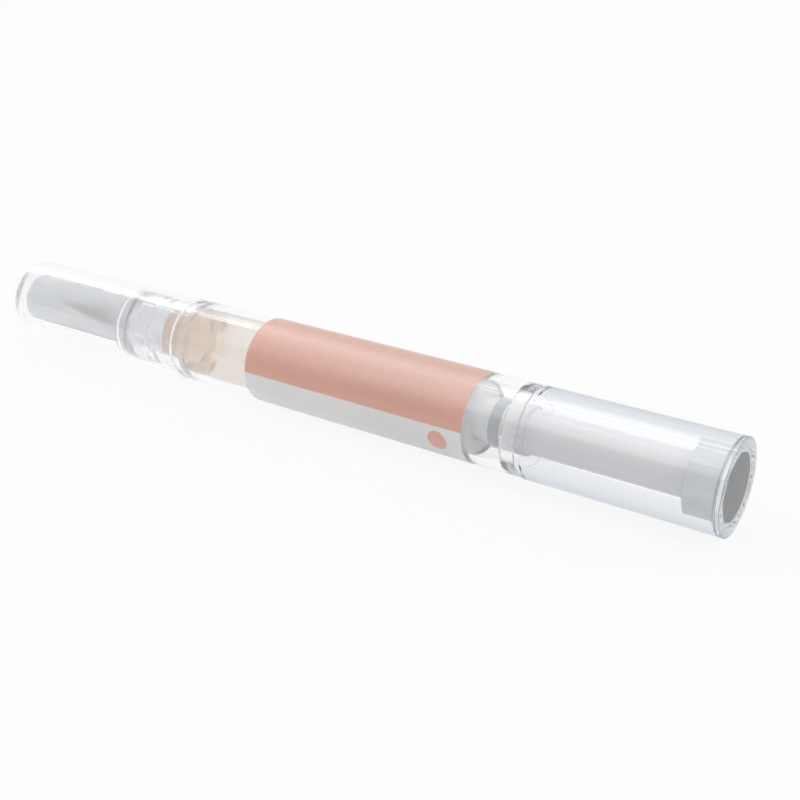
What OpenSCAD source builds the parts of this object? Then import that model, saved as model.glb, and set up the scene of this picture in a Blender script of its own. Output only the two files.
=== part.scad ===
// Twist-up oil pen: clear cap, clear barrel with a wrapped label, and a clear twist knob at the rear.
// The pen lies on its side along X, cap end towards -X, and rests on Z = 0 at the middle of its length.
// Millimetres throughout. Every piece is a body of revolution about the pen's axis unless it says otherwise.

/* [Overall] */
// Outer radius of the cap and the knob, which the pen rests on
body_r = 6.2; // [6:0.05:7.5]
// Length of the cap
cap_len = 35.1; // [34:0.1:42]
// Length of barrel that shows between the cap and the knob
grip_len = 58.3; // [54:0.1:70]
// Length of the knob that shows
knob_len = 26.4; // [25:0.1:34]
// Open line between the cap and the barrel's shoulder, and between the barrel and the knob
seam_gap = 0.1; // [0.05:0.01:0.2]

/* [Cap] */
// Wall of the cap ahead of the nozzle collar
cap_wall = 1.45; // [1.2:0.05:1.5]
// Thin wall of the cap where it slides over the barrel's neck
cap_skirt_wall = 0.77; // [0.6:0.01:0.9]
// Closed end of the cap
cap_end_wall = 0.9; // [0.6:0.1:2]
// Radius of the rounded outer edge at the cap's closed end
cap_edge_r = 0.5; // [0.2:0.05:0.8]
// Height of the snap ring inside the cap
cap_snap_h = 0.05; // [0.02:0.01:0.06]

/* [Inner cap] */
// Wall of the translucent inner cap
inner_cap_wall = 0.3; // [0.25:0.01:0.4]
// Room between the liner's side and the cap's bore
inner_cap_room = 0.95; // [0.85:0.05:1]
// Length of the flange at its mouth, which fits the cap's bore
inner_cap_flange_len = 0.5; // [0.4:0.1:1]
// Closed end of the inner cap
inner_cap_end_wall = 0.5; // [0.3:0.1:1]
// Space between the inner cap's mouth and the nozzle's collar
inner_cap_stop = 0.3; // [0.2:0.05:1]

/* [Barrel] */
// Wall of the barrel round the oil
barrel_wall = 1.0; // [0.8:0.01:1.3]
// Length of the neck that the cap slides over
neck_len = 10.2; // [8:0.1:12]
// Radius of the bore through the neck
neck_bore_r = 3.75; // [3.3:0.01:4]
// Length of the closed shoulder between the neck and the wide bore
shoulder_len = 2.3; // [1.5:0.1:3]
// Depth of the socket in the barrel's rear end, for the knob's spigot
rear_socket_len = 2.3; // [1.5:0.1:3]
// Width of the snap groove round the neck
neck_groove_w = 1.2; // [0.8:0.1:2]
// Depth of the snap groove round the neck
neck_groove_h = 0.2; // [0.1:0.01:0.3]

/* [Label] */
// Thickness of the printed film
label_t = 0.08; // [0.05:0.01:0.15]
// Bare length of barrel between its shoulder and the label
label_front_margin = 14.6; // [10:0.1:20]
// Bare length of barrel between the label and the knob's end of the barrel
label_rear_margin = 7.6; // [4:0.1:12]

/* [Nozzle] */
// Thickness of the collar that stops on the neck
collar_len = 1.45; // [1:0.05:2]
// Length of the plug inside the neck
plug_len = 7; // [5:0.1:8]
// Length of the cone ahead of the collar
cone_len = 12.2; // [10:0.1:14]
// Space between the cone's foot and the inner cap round it
cone_gap = 0.1; // [0.05:0.01:0.3]
// Wall of the cone at its foot, where the hollow inside narrows
cone_foot_wall = 1; // [0.8:0.05:1.2]
// Radius of the cone at its tip
cone_tip_r = 1.15; // [1.05:0.01:1.4]
// Radius of the hole at the tip, which the bristles fill
tip_bore_r = 0.88; // [0.8:0.01:0.95]
// Radius of the bore that holds the brush root
root_bore_r = 1.5; // [1.35:0.01:1.6]
// Radius of the wide bore through the plug
plug_bore_r = 2.7; // [2:0.05:2.9]
// Width of each of the three sealing ribs round the plug
seal_rib_w = 0.9; // [0.5:0.1:1.2]
// Height of the sealing ribs
seal_rib_h = 0.3; // [0.1:0.01:0.4]

/* [Brush] */
// Length of bristle that shows ahead of the nozzle
brush_len = 7; // [5:0.1:8]
// Length of the fused root that holds the bristles
brush_root_len = 1.5; // [1:0.1:2]
// How far the root sits behind the narrow tip hole
tip_hole_len = 4.3; // [3.5:0.1:5]
// Number of bristles
bristle_count = 320; // [300:1:400]
// Radius of a bristle at its root
bristle_r = 0.026; // [0.02:0.001:0.027]
// Outer radius of the feed tube through the brush
feed_tube_r = 0.3; // [0.25:0.01:0.35]
// Wall of the feed tube
feed_tube_wall = 0.11; // [0.08:0.01:0.14]
// Length of the bush that holds the brush root from behind
retainer_len = 2.4; // [1.5:0.1:3]

/* [Piston] */
// Length of the piston
piston_len = 6; // [5:0.1:8]
// Width of each sealing lip
piston_lip_w = 0.8; // [0.5:0.1:1.2]
// How far the lips stand out from the piston's waist
piston_lip_h = 0.45; // [0.3:0.05:0.7]
// Thickness of the piston's face
piston_face_wall = 1.2; // [0.8:0.1:1.6]

/* [Screw drive] */
// Advance of the screw in one turn of the knob
lead = 4; // [3.5:0.1:5]
// Outer radius of the thread
thread_r = 1.6; // [1.5:0.01:1.75]
// Radius at the root of the thread
thread_root_r = 1.25; // [1.1:0.01:1.3]
// Half the distance between the two flats along the screw
flat_half = 1.2; // [1.05:0.01:1.3]
// Outer radius of the nut
nut_r = 3; // [2.6:0.05:3.3]
// Length of screw that stays keyed in the tube when the pen is empty
key_engage = 3; // [2:0.1:4]

/* [Guide sleeve] */
// Length of the wide seat that fixes the sleeve in the barrel
guide_seat_len = 9; // [8:0.1:9.5]
// Length of the hollow inside the seat for the nut and the clip
guide_room_len = 6; // [5.5:0.1:7.5]
// Length of the narrow tube behind the seat
guide_tube_len = 2.8; // [2:0.1:3.5]
// Outer radius of the narrow tube
guide_tube_r = 3.05; // [3:0.01:3.2]

/* [Click ratchet] */
// Width of the toothed ring
ratchet_w = 1.5; // [1.2:0.1:2]
// Number of teeth
ratchet_teeth = 12; // [8:1:18]
// Depth of the teeth
ratchet_depth = 0.25; // [0.15:0.01:0.3]
// Thickness of the pawl's two springy arms
pawl_arm_t = 0.16; // [0.12:0.01:0.2]

/* [Rotor tube] */
// Outer radius of the white tube inside the knob
rotor_r = 2.97; // [2.9:0.01:3.15]
// Radius of the collar at the seam, which is the ratchet ring's too
rotor_collar_r = 3.4; // [3.3:0.01:3.6]
// Length of the collar
rotor_collar_len = 3.6; // [3:0.1:4.5]
// Radius of the journal that turns in the guide sleeve
journal_r = 2.35; // [2.2:0.01:2.4]

/* [Knob] */
// Wall of the knob
knob_wall = 1.45; // [1.2:0.05:1.5]
// Closed end of the knob
knob_end_wall = 0.9; // [0.6:0.1:1.5]
// Length of the spigot that turns inside the barrel
knob_spigot_len = 2.2; // [1.4:0.1:2.9]
// Radius of the rounded outer edge at the knob's end
knob_edge_r = 0.3; // [0.1:0.05:0.5]

/* [Tail plug] */
// Length of the eight-sided tail plug
tail_plug_len = 4.1; // [3.5:0.1:5]
// Closed end of the tail plug
tail_plug_wall = 1; // [0.5:0.05:1.5]

/* [Fits] */
// Running clearance round the neck and the knob's spigot
slide_gap = 0.08; // [0.05:0.01:0.1]
// Running clearance of the rotor's journal
journal_gap = 0.07; // [0.04:0.01:0.1]
// Clearance round the piston's lips
piston_gap = 0.04; // [0.02:0.01:0.08]
// Clearance between screw and nut, on all sides of the thread
thread_gap = 0.15; // [0.12:0.01:0.2]
// Clearance between the screw's flats and the keyed bore
key_gap = 0.1; // [0.06:0.01:0.14]
// Clearance of pieces that are pressed or glued together
seat_gap = 0.03; // [0.01:0.01:0.05]

/* [Hidden] */
$fn = 96;

// Overrun of a cut past the face that it opens
over = 0.2;
// Length of the small cone that leads into a bore or off an edge
lead_in = 0.3;
// Steps in a rounded edge
edge_steps = 5;
// Axial play between pieces that turn or slide on each other
end_play = 0.2;
// Gap left between the piston and the end of the bore when the pen is empty
empty_gap = 0.2;
// Gap between the full piston and the guide sleeve
full_gap = 1;
// Turning gap in the piston's socket, round the screw's head
head_gap = 0.1;
// Radius and thickness of the screw's head, and the thickness of the lip that holds it
head_r = 1.9;
head_len = 1.8;
socket_lip_len = 1;
screw_neck_r = 1;

// Stations along the pen
pen_len = cap_len + grip_len + knob_len + 2 * seam_gap;
cap_end_x = -pen_len / 2;
cap_mouth_x = cap_end_x + cap_len;
shoulder_x = cap_mouth_x + seam_gap;
neck_front_x = shoulder_x - neck_len;
bore_front_x = shoulder_x + shoulder_len;
rear_x = shoulder_x + grip_len;
knob_front_x = rear_x + seam_gap;
knob_end_x = knob_front_x + knob_len;
label_x = shoulder_x + label_front_margin;
label_len = grip_len - label_front_margin - label_rear_margin;
collar_front_x = neck_front_x - collar_len;
plug_end_x = neck_front_x + plug_len;
tip_x = collar_front_x - cone_len;
root_front_x = tip_x + tip_hole_len;
root_rear_x = root_front_x + brush_root_len;
retainer_rear_x = root_rear_x + retainer_len;
apex_x = tip_x - brush_len;
ratchet_x = rear_x - rotor_collar_len - ratchet_w;
guide_front_x = ratchet_x - guide_tube_len - guide_seat_len;
guide_step_x = guide_front_x + guide_seat_len;
guide_room_x = guide_front_x + guide_room_len;
piston_rear_x = guide_front_x - full_gap;
piston_front_x = piston_rear_x - piston_len;

// Radii from the outside in
cap_bore_r = body_r - cap_wall;
cap_skirt_r = body_r - cap_skirt_wall;
neck_r = cap_skirt_r - slide_gap;
inner_cap_flange_r = cap_bore_r - seat_gap;
inner_cap_r = cap_bore_r - inner_cap_room;
inner_cap_bore_r = inner_cap_r - inner_cap_wall;
cone_base_r = inner_cap_bore_r - cone_gap;
cone_bore_r = cone_base_r - cone_foot_wall;
label_r = body_r;
barrel_r = label_r - label_t - seat_gap / 3;
bore_r = barrel_r - barrel_wall;
knob_bore_r = body_r - knob_wall;
rear_socket_r = (knob_bore_r + barrel_r) / 2;
knob_spigot_r = rear_socket_r - slide_gap;
plug_r = neck_bore_r - seat_gap;
piston_r = bore_r - piston_gap;
guide_seat_r = bore_r - seat_gap;
journal_bore_r = journal_r + journal_gap;
key_bore_r = thread_r + key_gap;
key_half = flat_half + key_gap;
octagon_r = knob_bore_r - seat_gap;

// Snap ring between the guide sleeve and the barrel
snap_w = 1;
snap_h = 0.15;
snap_x = guide_front_x + guide_room_len / 2;

// Spigot of the rotor tube inside the tail plug
tail_step_h = 0.8;
tail_spigot_r = rotor_r - tail_step_h;
tail_inner_x = knob_end_x - knob_end_wall - seat_gap;
tail_front_x = tail_inner_x - tail_plug_len;
rotor_end_x = tail_inner_x - tail_plug_wall - seat_gap;

// Groove and clip at the front end of the rotor's journal
clip_t = 0.5;
clip_groove_h = 0.3;
clip_out_h = 0.45;
clip_mouth_a = 60;
clip_x = guide_room_x - clip_t - end_play / 2;
rotor_front_x = clip_x - clip_t;
nut_rear_x = rotor_front_x - end_play;
clip_room_r = journal_r + clip_out_h + end_play;

// Travel of the piston: to the end of the bore, or until the screw would leave its key
bore_travel = piston_front_x - bore_front_x - empty_gap;
key_travel = rotor_end_x - end_play - rotor_front_x - key_engage;
travel = min(bore_travel, key_travel);
screw_tail_x = rotor_front_x + key_engage + travel;
turns = travel / lead;
echo(pen_length = pen_len, travel = travel, turns = turns, turn_degrees = 360 * turns);
echo(fill_ml = PI * (pow(bore_r, 2) * travel + pow(neck_bore_r, 2) * (bore_front_x - plug_end_x)) / 1000);

// Points of a quarter-round edge about (r, x), from angle a0 to a1, angle 0 along +r and 90 along +x
function edge_arc(r, x, edge_r, a0, a1) =
    [for (i = [0:edge_steps]) let (a = a0 + (a1 - a0) * i / edge_steps) [r + edge_r * cos(a), x + edge_r * sin(a)]];

// Turn of a round piece's seam line off the pen's lowest line, where the pen rests
seam_a = 2.28;

// Turns an outline of [radius, place along the pen] points about the pen's axis
module turned(outline) {
    translate([0, 0, body_r]) rotate([0, 90, 0]) rotate([0, 0, seam_a]) rotate_extrude() polygon(outline);
}

// A tube between two places along the pen
module tube_between(x0, x1, r_out, r_in) {
    turned([[r_in, x0], [r_out, x0], [r_out, x1], [r_in, x1]]);
}

// Puts a flat outline across the axis and makes it a plate from x0 to x1
module plate_between(x0, x1) {
    translate([x0, 0, body_r]) rotate([0, 90, 0]) linear_extrude(x1 - x0) children();
}

// Cap
module cap() {
    cap_inner_x = cap_end_x + cap_end_wall;
    skirt_front_x = collar_front_x - seat_gap;
    snap_ring_x = shoulder_x - neck_len / 2;
    color([0.93, 0.95, 0.96, 0.35])
    turned(concat(
        [[0, cap_end_x]],
        edge_arc(body_r - cap_edge_r, cap_end_x + cap_edge_r, cap_edge_r, -90, 0),
        [[body_r, cap_mouth_x],
         [cap_skirt_r, cap_mouth_x],
         [cap_skirt_r, snap_ring_x + cap_snap_h],
         [cap_skirt_r - cap_snap_h, snap_ring_x],
         [cap_skirt_r, snap_ring_x - cap_snap_h],
         [cap_skirt_r, skirt_front_x],
         [cap_bore_r, skirt_front_x],
         [cap_bore_r, cap_inner_x],
         [0, cap_inner_x]]));
}

// Inner cap, a translucent liner that closes round the brush
module inner_cap() {
    outer_x = cap_end_x + cap_end_wall + seat_gap;
    mouth_x = collar_front_x - inner_cap_stop;
    color([0.85, 0.86, 0.87, 0.6])
    turned([[0, outer_x], [inner_cap_r, outer_x], [inner_cap_r, mouth_x - inner_cap_flange_len],
            [inner_cap_flange_r, mouth_x - inner_cap_flange_len], [inner_cap_flange_r, mouth_x],
            [inner_cap_bore_r, mouth_x], [inner_cap_bore_r, outer_x + inner_cap_end_wall],
            [0, outer_x + inner_cap_end_wall]]);
}

// Barrel: neck in front, wide oil bore, and a socket at the rear
module barrel() {
    groove_x = shoulder_x - neck_len / 2;
    step_x = bore_front_x - (bore_r - neck_bore_r);
    color([0.93, 0.95, 0.96, 0.35])
    turned([[neck_bore_r, neck_front_x],
            [neck_r - lead_in, neck_front_x],
            [neck_r, neck_front_x + lead_in],
            [neck_r, groove_x - neck_groove_w / 2],
            [neck_r - neck_groove_h, groove_x - neck_groove_w / 2 + neck_groove_h],
            [neck_r - neck_groove_h, groove_x + neck_groove_w / 2 - neck_groove_h],
            [neck_r, groove_x + neck_groove_w / 2],
            [neck_r, shoulder_x],
            [barrel_r, shoulder_x],
            [barrel_r, rear_x],
            [rear_socket_r, rear_x],
            [rear_socket_r, rear_x - rear_socket_len],
            [bore_r, rear_x - rear_socket_len],
            [bore_r, snap_x + snap_w / 2],
            [bore_r - snap_h, snap_x + snap_w / 2 - snap_h],
            [bore_r - snap_h, snap_x - snap_w / 2 + snap_h],
            [bore_r, snap_x - snap_w / 2],
            [bore_r, bore_front_x],
            [neck_bore_r, step_x]]);
}

// Label, one printed film wrapped all the way round
module label() {
    color([0.86, 0.70, 0.64])
    tube_between(label_x, label_x + label_len, label_r, label_r - label_t);
}

// Nozzle: ribbed plug, collar and hollow cone in one moulding
module nozzle() {
    rib_pitch = (plug_len - seal_rib_w) / 2;
    waist_r = plug_r - seal_rib_h;
    plug_side = [for (i = [0:2]) let (x = neck_front_x + i * rib_pitch)
        each [[waist_r, x], [plug_r, x + seal_rib_h / 2], [plug_r, x + seal_rib_w - seal_rib_h / 2],
              [waist_r, x + seal_rib_w]]];
    color([0.90, 0.91, 0.92])
    turned(concat(
        [[tip_bore_r, tip_x],
         [cone_tip_r, tip_x],
         [cone_base_r, collar_front_x],
         [neck_r - lead_in, collar_front_x],
         [neck_r, collar_front_x + lead_in],
         [neck_r, neck_front_x]],
        plug_side,
        [[plug_bore_r, plug_end_x],
         [plug_bore_r, neck_front_x],
         [cone_bore_r, collar_front_x],
         [root_bore_r, retainer_rear_x],
         [root_bore_r, root_front_x],
         [tip_bore_r, root_front_x]]));
}

// Brush: fine tapering bristles round the feed tube, fused into one root
golden_angle = 180 * (3 - sqrt(5));
bundle_in_r = feed_tube_r + 2 * bristle_r;
bundle_out_r = tip_bore_r - 2 * bristle_r;
apex_share = 0.12;
outer_short_share = 0.3;
uneven_share = 0.08;
root_bite = brush_root_len / 3;
function seat_r(i) =
    sqrt(pow(bundle_in_r, 2) + (pow(bundle_out_r, 2) - pow(bundle_in_r, 2)) * (i + 0.5) / bristle_count);
function shown_share(i) =
    (1 - outer_short_share * (seat_r(i) - bundle_in_r) / (bundle_out_r - bundle_in_r))
    * (1 - uneven_share * ((i * 7) % 5) / 5);
function gather(share) = 1 - (1 - apex_share) * share;
function bristle_ring(i, x, k) =
    [for (j = [0:2]) [k * (seat_r(i) * cos(i * golden_angle) + bristle_r * cos(i * golden_angle + 120 * j)),
                      k * (seat_r(i) * sin(i * golden_angle) + bristle_r * sin(i * golden_angle + 120 * j)), x]];
function bristle_points(i) = concat(
    bristle_ring(i, root_front_x + root_bite, 1),
    bristle_ring(i, tip_x, 1),
    bristle_ring(i, tip_x - brush_len * shown_share(i), gather(shown_share(i))));
function bristle_faces(i) = let (b = 9 * i) concat(
    [[b + 2, b + 1, b], [b + 6, b + 7, b + 8]],
    [for (row = [0:1], j = [0:2]) let (p = b + 3 * row, k = (j + 1) % 3) each
        [[p + j, p + k, p + 3 + j], [p + k, p + 3 + k, p + 3 + j]]]);
module bristles() {
    color([0.93, 0.93, 0.91]) union() {
        translate([0, 0, body_r]) rotate([0, 90, 0])
        polyhedron(points = [for (i = [0:bristle_count - 1]) each bristle_points(i)],
                   faces = [for (i = [0:bristle_count - 1]) each bristle_faces(i)], convexity = 8);
        tube_between(root_front_x, root_rear_x, root_bore_r - seat_gap, feed_tube_r + seat_gap / 3);
    }
}

// Feed tube that carries oil through the root to the middle of the brush
module feed_tube() {
    rear_x = root_rear_x + retainer_len / 2;
    front_x = tip_x - brush_len / 8;
    color([0.88, 0.90, 0.92])
    tube_between(front_x, rear_x, feed_tube_r, feed_tube_r - feed_tube_wall);
}

// Bush pressed in behind the brush root
module brush_retainer() {
    bore = (root_bore_r + feed_tube_r) / 2;
    color([0.86, 0.87, 0.88])
    tube_between(root_rear_x + seat_gap, retainer_rear_x, root_bore_r - seat_gap, bore);
}

// Oil in the barrel, between the piston and the nozzle's plug
module oil_fill() {
    skin = 2 * seat_gap;
    front_x = plug_end_x + skin;
    rear_x = piston_front_x - skin;
    step_x = bore_front_x - (bore_r - neck_bore_r);
    color([0.92, 0.86, 0.80])
    turned([[0, front_x], [neck_bore_r - skin, front_x], [neck_bore_r - skin, step_x],
            [bore_r - skin, bore_front_x + skin], [bore_r - skin, rear_x], [0, rear_x]]);
}

// Piston with a lip at each end and a socket that the screw's head snaps into
module piston() {
    socket_x = piston_front_x + piston_face_wall;
    socket_end_x = socket_x + head_len + 2 * head_gap;
    lip_end_x = socket_end_x + socket_lip_len;
    waist_r = piston_r - piston_lip_h;
    socket_r = head_r + head_gap;
    rear_room_r = socket_r + head_gap;
    color([0.95, 0.95, 0.95])
    turned([[0, piston_front_x],
            [piston_r, piston_front_x],
            [piston_r, piston_front_x + piston_lip_w],
            [waist_r, piston_front_x + piston_lip_w + piston_lip_h],
            [waist_r, piston_rear_x - piston_lip_w - piston_lip_h],
            [piston_r, piston_rear_x - piston_lip_w],
            [piston_r, piston_rear_x],
            [rear_room_r, piston_rear_x],
            [rear_room_r, lip_end_x],
            [screw_neck_r + head_gap, lip_end_x],
            [screw_neck_r + head_gap, socket_end_x],
            [socket_r, socket_end_x],
            [socket_r, socket_x],
            [0, socket_x]]);
}

// Outline of the thread across its axis: root, flank, crest, flank in one turn
profile_points = 16;
slices_per_turn = 12;
root_share = 0.3;
crest_share = 0.2;
flank_share = (1 - root_share - crest_share) / 2;
function thread_height(turn_share) =
    turn_share < root_share ? 0
    : turn_share < root_share + flank_share ? (turn_share - root_share) / flank_share
    : turn_share < 1 - flank_share ? 1
    : (1 - turn_share) / flank_share;
function thread_outline(grow) =
    [for (i = [0:profile_points - 1]) let (share = i / profile_points, a = 360 * share,
        r = thread_root_r + grow + (thread_r - thread_root_r) * thread_height(share)) [r * cos(a), r * sin(a)]];
module thread_between(x0, x1, grow) {
    translate([x0, 0, body_r]) rotate([0, 90, 0]) rotate([0, 0, 360 * x0 / lead])
    linear_extrude(x1 - x0, twist = -360 * (x1 - x0) / lead, slices = ceil((x1 - x0) / lead * slices_per_turn),
                   convexity = 10, $fn = profile_points)
    polygon(thread_outline(grow));
}

// Screw with two flats along it, a snap head in front and its tail in the rotor tube
module lead_screw() {
    head_x = piston_front_x + piston_face_wall + head_gap;
    thread_x = piston_rear_x + full_gap / 2;
    color([0.93, 0.93, 0.93]) union() {
        intersection() {
            thread_between(thread_x, screw_tail_x, 0);
            translate([thread_x - over, -flat_half, body_r - thread_r - over])
            cube([screw_tail_x - thread_x + 2 * over, 2 * flat_half, 2 * (thread_r + over)]);
        }
        turned([[0, head_x], [head_r - lead_in, head_x], [head_r, head_x + lead_in], [head_r, head_x + head_len],
                [screw_neck_r, head_x + head_len], [screw_neck_r, thread_x + over], [0, thread_x + over]]);
    }
}

// Nut with the mating thread, fixed in the guide sleeve
module drive_nut() {
    color([0.90, 0.90, 0.90]) difference() {
        tube_between(guide_front_x, nut_rear_x, nut_r, thread_root_r / 2);
        thread_between(guide_front_x - over, nut_rear_x + over, thread_gap);
    }
}

// Guide sleeve: wide seat in the barrel, seat for the nut, and the bore that the rotor turns in
module guide_sleeve() {
    nut_seat_r = nut_r + seat_gap;
    color([0.96, 0.96, 0.96])
    turned([[nut_seat_r, guide_front_x],
            [guide_seat_r, guide_front_x],
            [guide_seat_r, snap_x - snap_w / 2],
            [guide_seat_r - snap_h, snap_x - snap_w / 2 + snap_h],
            [guide_seat_r - snap_h, snap_x + snap_w / 2 - snap_h],
            [guide_seat_r, snap_x + snap_w / 2],
            [guide_seat_r, guide_step_x],
            [guide_tube_r, guide_step_x],
            [guide_tube_r, ratchet_x - seat_gap],
            [journal_bore_r, ratchet_x - seat_gap],
            [journal_bore_r, guide_room_x],
            [clip_room_r, guide_room_x],
            [clip_room_r, nut_rear_x + seat_gap],
            [nut_seat_r, nut_rear_x + seat_gap]]);
}

// Ratchet ring with saw teeth inside, fixed to the end of the guide sleeve
pawl_root_r = journal_r + journal_gap / 2 + seat_gap;
tooth_crest_r = rotor_collar_r - 2 * ratchet_depth - seat_gap;
module ratchet_ring() {
    tooth_a = 360 / ratchet_teeth;
    teeth = [for (i = [0:ratchet_teeth - 1]) each
        [(tooth_crest_r + ratchet_depth) * [cos(i * tooth_a), sin(i * tooth_a)],
         tooth_crest_r * [cos(i * tooth_a), sin(i * tooth_a)]]];
    color([0.62, 0.65, 0.68])
    plate_between(ratchet_x, ratchet_x + ratchet_w - seat_gap) difference() {
        circle(rotor_collar_r);
        polygon(teeth);
    }
}

// Pawl ring on the rotor, with two springy arms that trail and click past the teeth
module pawl_ring() {
    hub_r = pawl_root_r + pawl_arm_t;
    tip_r = tooth_crest_r + ratchet_depth / 3;
    rise_a = 60;
    slot_a = 24;
    hook_a = 5;
    outline_steps = 24;
    slot_steps = 4;
    function out_r(a) = hub_r + (tip_r - hub_r) * pow(max(0, 1 - a / rise_a), 1.8);
    function outline_point(side, a, r) = r * [cos(side - hook_a - a), sin(side - hook_a - a)];
    color([0.55, 0.58, 0.62])
    plate_between(ratchet_x + end_play, ratchet_x + ratchet_w - end_play) difference() {
        polygon([for (side = [360, 180], i = [0:outline_steps]) let (a = 180 * i / outline_steps)
            outline_point(side, a, out_r(a))]);
        for (side = [360, 180])
            polygon(concat(
                [for (i = [-1:slot_steps]) let (a = slot_a * i / slot_steps)
                    outline_point(side, a, max(hub_r, out_r(max(0, a)) - pawl_arm_t))],
                [outline_point(side, -slot_a / slot_steps, hub_r)]));
        circle(pawl_root_r);
    }
}

// Open clip in the journal's groove, which keeps the knob from pulling off
module retaining_ring() {
    in_r = journal_r - clip_groove_h + seat_gap;
    out_r = journal_r + clip_out_h;
    color([0.75, 0.76, 0.78])
    plate_between(clip_x + seat_gap, clip_x + clip_t - seat_gap) difference() {
        circle(out_r);
        circle(in_r);
        polygon([[0, 0], 2 * out_r * [cos(-clip_mouth_a / 2), sin(-clip_mouth_a / 2)],
                 2 * out_r * [cos(clip_mouth_a / 2), sin(clip_mouth_a / 2)]]);
    }
}

// Rotor tube: keyed to the screw, turning in the guide sleeve, fixed in the knob by the tail plug
module rotor_tube() {
    collar_x = ratchet_x + ratchet_w;
    collar_edge_r = (rotor_collar_r - rotor_r) / 2;
    color([0.97, 0.97, 0.97]) difference() {
        turned(concat(
            [[0, rotor_front_x],
             [journal_r - lead_in, rotor_front_x],
             [journal_r, rotor_front_x + lead_in],
             [journal_r, clip_x],
             [journal_r - clip_groove_h, clip_x],
             [journal_r - clip_groove_h, clip_x + clip_t],
             [journal_r, clip_x + clip_t],
             [journal_r, collar_x],
             [rotor_collar_r, collar_x]],
            edge_arc(rotor_collar_r - collar_edge_r, rear_x - collar_edge_r, collar_edge_r, 0, 90),
            [[rotor_r, rear_x],
             [rotor_r, tail_front_x - seat_gap],
             [tail_spigot_r, tail_front_x - seat_gap],
             [tail_spigot_r, rotor_end_x],
             [0, rotor_end_x]]));
        plate_between(rotor_front_x - over, rotor_end_x + over) intersection() {
            circle(key_bore_r);
            square([2 * key_bore_r + over, 2 * key_half], center = true);
        }
    }
}

// Tail plug, eight-sided, closed at the rear, held in the knob by its corners
module tail_plug() {
    sides = 8;
    color([0.84, 0.85, 0.86]) difference() {
        translate([tail_front_x, 0, body_r]) rotate([0, 90, 0])
        cylinder(r = octagon_r, h = tail_plug_len, $fn = sides);
        turned([[0, tail_front_x - over], [tail_spigot_r + seat_gap, tail_front_x - over],
                [tail_spigot_r + seat_gap, tail_inner_x - tail_plug_wall], [0, tail_inner_x - tail_plug_wall]]);
    }
}

// Knob, closed at the rear, with a spigot that turns inside the barrel
module knob() {
    color([0.90, 0.93, 0.96, 0.35])
    turned(concat(
        [[knob_bore_r, knob_front_x - seam_gap - knob_spigot_len],
         [knob_spigot_r, knob_front_x - seam_gap - knob_spigot_len],
         [knob_spigot_r, knob_front_x],
         [body_r, knob_front_x]],
        edge_arc(body_r - knob_edge_r, knob_end_x - knob_edge_r, knob_edge_r, 0, 90),
        [[0, knob_end_x],
         [0, knob_end_x - knob_end_wall],
         [knob_bore_r, knob_end_x - knob_end_wall]]));
}

cap();
inner_cap();
barrel();
label();
nozzle();
bristles();
feed_tube();
brush_retainer();
oil_fill();
piston();
lead_screw();
drive_nut();
guide_sleeve();
ratchet_ring();
pawl_ring();
retaining_ring();
rotor_tube();
tail_plug();
knob();
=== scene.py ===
import math

import bmesh
import bpy
from mathutils import Matrix, Vector


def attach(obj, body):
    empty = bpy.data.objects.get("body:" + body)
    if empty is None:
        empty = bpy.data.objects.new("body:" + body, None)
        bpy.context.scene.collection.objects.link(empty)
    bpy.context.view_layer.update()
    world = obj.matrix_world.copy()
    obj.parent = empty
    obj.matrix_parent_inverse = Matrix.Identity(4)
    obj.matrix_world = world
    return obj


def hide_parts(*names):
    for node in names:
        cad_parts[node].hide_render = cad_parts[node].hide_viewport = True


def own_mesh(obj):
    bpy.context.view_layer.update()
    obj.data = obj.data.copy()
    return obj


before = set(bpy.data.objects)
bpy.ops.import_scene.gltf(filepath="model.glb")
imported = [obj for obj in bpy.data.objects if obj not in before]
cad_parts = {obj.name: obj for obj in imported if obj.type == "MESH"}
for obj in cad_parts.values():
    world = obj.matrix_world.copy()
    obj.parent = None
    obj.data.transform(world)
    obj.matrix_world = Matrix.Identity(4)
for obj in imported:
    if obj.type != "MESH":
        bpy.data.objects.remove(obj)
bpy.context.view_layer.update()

# The pen lies along X with its cap towards -X, so its axis is one radius above the floor
mm = 0.001
axisHeight = 6.2
turnSteps = 224
roundSegments = 3
softAngle = math.radians(40)
touching = 1e-7  # metres
nearly = 0.02  # mm, a face this close to a place counts as being there
noiseLow, noiseHigh = 0.3, 0.7  # most of a noise texture's values lie between these
boreAxis = Vector((0, 0, axisHeight * mm))
acrossPen = Matrix.Translation(boreAxis) @ Matrix.Rotation(math.radians(90), 4, "Y")


def linearColour(hexColour):
    channels = [int(hexColour[i:i + 2], 16) / 255 for i in (1, 3, 5)]
    return [c / 12.92 if c <= 0.04045 else ((c + 0.055) / 1.055) ** 2.4 for c in channels] + [1]


def addNode(tree, kind, settings=None, **inputs):
    # inputs are named by their socket, with _ for a space, or by in0, in1 where names repeat
    node = tree.nodes.new("ShaderNode" + kind)
    for setting, value in (settings or {}).items():
        setattr(node, setting, value)
    for key, value in inputs.items():
        numbered = key[:2] == "in" and key[2:].isdigit()
        socket = node.inputs[int(key[2:]) if numbered else key.replace("_", " ")]
        if isinstance(value, bpy.types.NodeSocket):
            tree.links.new(value, socket)
        else:
            socket.default_value = value
    return node


def newMaterial(name):
    material = bpy.data.materials.new(name)
    material.use_nodes = True
    tree = material.node_tree
    tree.nodes.clear()
    return material, tree, addNode(tree, "TexCoord").outputs["Object"]


def setRamp(node, *stops):
    # two stops, each a place and an sRGB hex colour
    for element, (place, hexColour) in zip(node.color_ramp.elements, stops):
        element.position = place
        element.color = linearColour(hexColour)
    return node.outputs["Color"]


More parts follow.
